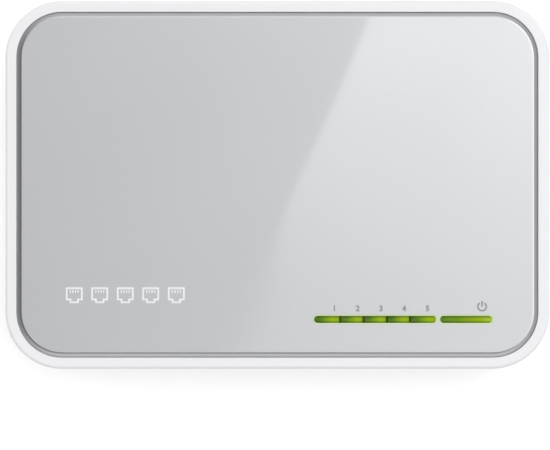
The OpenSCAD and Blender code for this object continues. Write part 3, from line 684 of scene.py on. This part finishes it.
def window_loop(x0, x1, grow):
    """The outline of a window with round ends, grown by that much."""
    half = (lens_boxes[0][1].y - lens_boxes[0][0].y) / 2
    return (arc(x1 - half, lens_y, half + grow, -90, 90) + arc(x0 + half, lens_y, half + grow, 90, 270))


for name, first, last in (("window_rim_ports", 0, 4), ("window_rim_power", 5, 5)):
    x0, x1 = lens_boxes[first][0].x, lens_boxes[last][1].x
    # The pale rim is painted lamp light at the lens's edge
    rim = flat_piece(name, [(window_loop(x0, x1, RIM_START), window_loop(x0, x1, RIM_END))],
                     HALO.material, panel_top - 0.04 * MM, panel_top + 0.006 * MM)
    # A thin silver sheet tinted green by painted lamp light, round each rim
    glow = flat_piece(name + "_glow", [(window_loop(x0, x1, RIM_END), window_loop(x0, x1, GLOW_END))],
                      SILVER_LIT, panel_top, panel_top + 0.003 * MM)


# ---------- stage, lights and camera ----------

def plane(name, width, depth, location, material):
    mesh = bpy.data.meshes.new(name)
    mesh.from_pydata([(-width / 2, -depth / 2, 0), (width / 2, -depth / 2, 0),
                      (width / 2, depth / 2, 0), (-width / 2, depth / 2, 0)], [], [(0, 1, 2, 3)])
    mesh.materials.append(material)
    made = bpy.data.objects.new(name, mesh)
    made.location = location
    bpy.context.scene.collection.objects.link(made)
    made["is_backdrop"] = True
    return made


def pale_floor():
    """A matt pale floor with a faint glow, which lets a look from below pass through it."""
    shader = Shader("floor", rgb(246, 246, 247), 0.6).glow(rgb(255, 255, 255), 0.34)
    facing = shader.node("ShaderNodeNewGeometry")
    clear = shader.node("ShaderNodeBsdfTransparent")
    mix = shader.node("ShaderNodeMixShader")
    shader.feed(mix.inputs[0], facing.outputs["Backfacing"])
    shader.feed(mix.inputs[1], shader.principled.outputs[0])
    shader.feed(mix.inputs[2], clear.outputs[0])
    shader.feed(shader.tree.nodes["Material Output"].inputs["Surface"], mix.outputs[0])
    return shader.material


FLOOR_SIZE = 6.0
FLOOR_DROP = 0.02 * MM             # keeps the floor and the undersides of the feet out of one plane
floor = plane("floor", FLOOR_SIZE, FLOOR_SIZE, (0, 0, -FLOOR_DROP), pale_floor())
# The lower half of the studio lights the case's walls through the floor
floor.visible_diffuse = False
floor.visible_shadow = False

# The camera looks straight down. The case stands a little right of the frame's middle and well above it.
CAMERA_HEIGHT = 900 * MM           # above the case's outline
SEEN_WIDTH = 104.642 * MM          # what the frame takes in at that distance
CASE_EDGE_R = 0.6 * MM             # the rounding of the case's top edge, at whose foot the outline lies
camera_x = -0.44 * MM
camera_y = -7.65 * MM
outline_z = case_high.z - CASE_EDGE_R
camera_data = bpy.data.cameras.new("camera")
camera_data.sensor_width = 36
camera_data.lens = camera_data.sensor_width * CAMERA_HEIGHT / SEEN_WIDTH
camera_data.clip_end = 20
camera = bpy.data.objects.new("camera", camera_data)
camera.location = (camera_x, camera_y, outline_z + CAMERA_HEIGHT)
bpy.context.scene.collection.objects.link(camera)
bpy.context.scene.camera = camera


# How bright each side of the studio is, as (degrees off the zenith, level). The horizon is at 90 degrees.
RIGHT_SIDE = [(0, 0.82), (8, 0.95), (16, 1.7), (40, 1.8), (54, 1.2), (68, 0.7), (86, 0.42), (104, 0.26),
              (180, 0.5)]
LEFT_SIDE = [(0, 0.82), (14, 0.74), (22, 0.14), (60, 0.14), (78, 0.32), (92, 0.4), (98, 1.3), (180, 1.0)]
REAR_SIDE = [(0, 0.82), (8, 0.95), (16, 1.5), (32, 1.5), (46, 1.2), (64, 0.95), (86, 0.75), (104, 0.4),
             (180, 0.5)]
FRONT_SIDE = [(0, 0.82), (14, 0.85), (19, 0.05), (48, 0.02), (60, 0.9), (86, 1.15), (93, 0.5), (98, 0.12),
              (180, 0.3)]

# The softbox's edge where the panel mirrors it, in metres: x = EDGE_X + EDGE_SLOPE * y + EDGE_BEND * y * y
EDGE_X = 3.41 * MM
EDGE_SLOPE = 0.481
EDGE_BEND = -1.49
# The edge is sharp at the rear and blurs to the front, where the softbox is dimmer too
EDGE_BLUR = 0.35 * MM
FRONT_BLUR = 11 * MM
FRONT_Y = -22 * MM
FRONT_SHARE = 0.3
SOFTBOX_LEVEL = 1.55
# How far off, in the panel's plane, the softbox begins to fade and ends
FADE_START = 270 * MM
FADE_END = 680 * MM


def surround(graph, height, level_by_angle):
    """Brightness by the ray's height, which is 1 at the zenith, 0.5 at the horizon and 0 straight down."""
    stops = sorted((0.5 + 0.5 * math.cos(math.radians(angle)), level) for angle, level in level_by_angle)
    top = max(level for _, level in stops)
    colour = graph.ramp(height, [(position, (level / top,) * 3 + (1,)) for position, level in stops])
    return graph.math("MULTIPLY", colour, top)


def studio_world():
    """A bright softbox overhead to the right, whose slanted edge the panel mirrors, and paler walls round it.

    The left and the front are dark between the softbox and the walls, which draws the panel's border."""
    world = bpy.data.worlds.new("studio")
    world.use_nodes = True
    bpy.context.scene.world = world
    graph = Graph(world.node_tree)
    x, y, z = (graph.axis(name) for name in "XYZ")
    level = graph.math("MULTIPLY_ADD", z, 0.5, 0.5)
    # The ray's length along the ground. The tiny amount keeps it from 0 at the zenith, and a larger one would
    # show as a dark spot on the panel.
    flat = graph.math("SQRT", graph.math("ADD", graph.math("MULTIPLY", x, x),
                                         graph.math("MULTIPLY_ADD", y, y, 1e-9)))
    total = 0.0
    sides = ((x, 1, RIGHT_SIDE), (x, -1, LEFT_SIDE), (y, 1, REAR_SIDE), (y, -1, FRONT_SIDE))
    for value, sign, levels in sides:
        part = graph.math("MAXIMUM", graph.math("MULTIPLY", graph.math("DIVIDE", value, flat), sign), 0.0)
        share = graph.math("MULTIPLY", part, part)
        total = graph.math("MULTIPLY_ADD", share, surround(graph, level, levels), total)

    # The place on the panel in which the camera sees this part of the studio mirrored
    above = graph.math("MAXIMUM", z, 0.02)
    drop = outline_z + CAMERA_HEIGHT - panel_top
    panel_x = graph.math("MULTIPLY_ADD", graph.math("DIVIDE", x, above), drop, camera_x)
    panel_y = graph.math("MULTIPLY_ADD", graph.math("DIVIDE", y, above), drop, camera_y)
    on_panel = graph.span(panel_y, -40 * MM, 50 * MM, -40 * MM, 50 * MM)
    curve = graph.math("MULTIPLY", graph.math("MULTIPLY", on_panel, on_panel), EDGE_BEND)
    edge_x = graph.math("ADD", graph.math("MULTIPLY_ADD", panel_y, EDGE_SLOPE, EDGE_X), curve)
    beyond = graph.math("SUBTRACT", panel_x, edge_x)
    fade = graph.span(panel_y, 1.0, 0.0, FRONT_Y, 2 * MM)
    blur = graph.math("MULTIPLY_ADD", graph.math("MULTIPLY", fade, fade), FRONT_BLUR, EDGE_BLUR)
    lit = graph.span(beyond, 0.0, 1.0, 0.0, blur, smooth=True)
    strength = graph.span(panel_y, FRONT_SHARE, 1.0, FRONT_Y, 26 * MM)
    reach_x = graph.span(panel_x, 1.0, 0.0, FADE_START, FADE_END, smooth=True)
    reach_y = graph.span(graph.math("ABSOLUTE", panel_y), 1.0, 0.0, FADE_START, FADE_END, smooth=True)
    box = graph.math("MULTIPLY", graph.math("MULTIPLY", lit, strength),
                     graph.math("MULTIPLY", reach_x, reach_y))
    total = graph.math("MULTIPLY_ADD", box, SOFTBOX_LEVEL, total)
    background = world.node_tree.nodes["Background"]
    graph.feed(background.inputs["Color"], total)
    background.inputs["Strength"].default_value = 1.0


studio_world()


def soft_light(name, width, depth, location, power):
    """A large soft light aimed at the case. It lights matt surfaces and isn't mirrored by glossy ones."""
    light = bpy.data.lights.new(name, "AREA")
    light.shape = "RECTANGLE"
    light.size = width
    light.size_y = depth
    light.energy = power
    made = bpy.data.objects.new(name, light)
    made.location = location
    made.rotation_euler = (-Vector(location)).to_track_quat("-Z", "Y").to_euler()
    made.visible_camera = False
    made.visible_glossy = False
    bpy.context.scene.collection.objects.link(made)


soft_light("top_fill", 1.2, 1.2, (0.1, 0.2, 1.5), 1.0)
soft_light("side_fill", 0.8, 0.8, (-1.2, 0.3, 0.7), 3.2)

bpy.context.scene.view_settings.view_transform = "Standard"

low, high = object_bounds()
